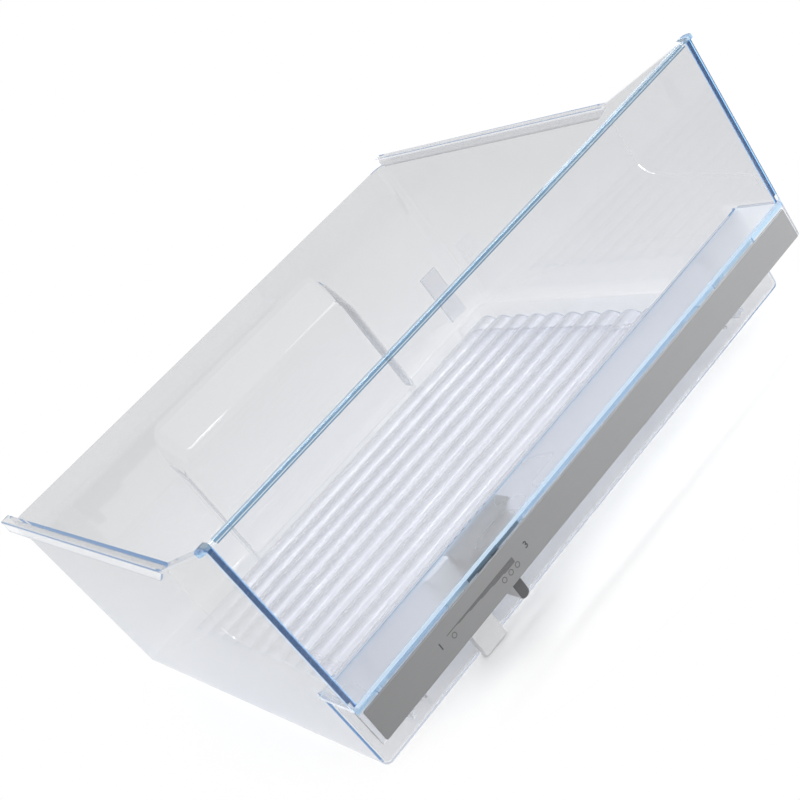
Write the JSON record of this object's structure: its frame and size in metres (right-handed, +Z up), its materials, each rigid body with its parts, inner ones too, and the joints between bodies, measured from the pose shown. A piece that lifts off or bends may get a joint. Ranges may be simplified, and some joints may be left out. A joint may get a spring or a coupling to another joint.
{
  "type": "refrigerator crisper drawer",
  "caption": "Clear vegetable drawer with a tall front panel, a frosted ledge, a sliding humidity vent under it and a ridged mat that lifts out.",
  "frame": {"origin": "on the ground under the middle of the drawer, measured over its whole width and depth", "axes": "+X to the right seen from the front, +Y back into the cabinet, +Z up"},
  "size_m": [0.5158, 0.4564, 0.222],
  "materials": {
    "clear_plastic": "clear, glossy",
    "silver_trim": "satin silver",
    "grey_plastic": "satin",
    "white_plastic": "matte",
    "frosted_plastic": "translucent, ridged",
    "blue_plastic": "matte"
  },
  "bodies": {
    "drawer": {"tray": "clear_plastic", "front_panel": "clear_plastic", "trim_strip": "silver_trim", "rear_stop": "blue_plastic"},
    "humidity_slide": {"humidity_slider": "grey_plastic", "slider_shoe": "white_plastic"},
    "mat": {"floor_insert": "frosted_plastic"}
  },
  "joints": [
    {"name": "humidity_slide", "type": "slide", "parent": "drawer", "child": "humidity_slide", "axis": [1, 0, 0], "range_m": [-0.06, 0]},
    {"name": "mat_lift", "type": "slide", "parent": "drawer", "child": "mat", "axis": [0, 0, 1], "range_m": [0, 0.23]}
  ]
}
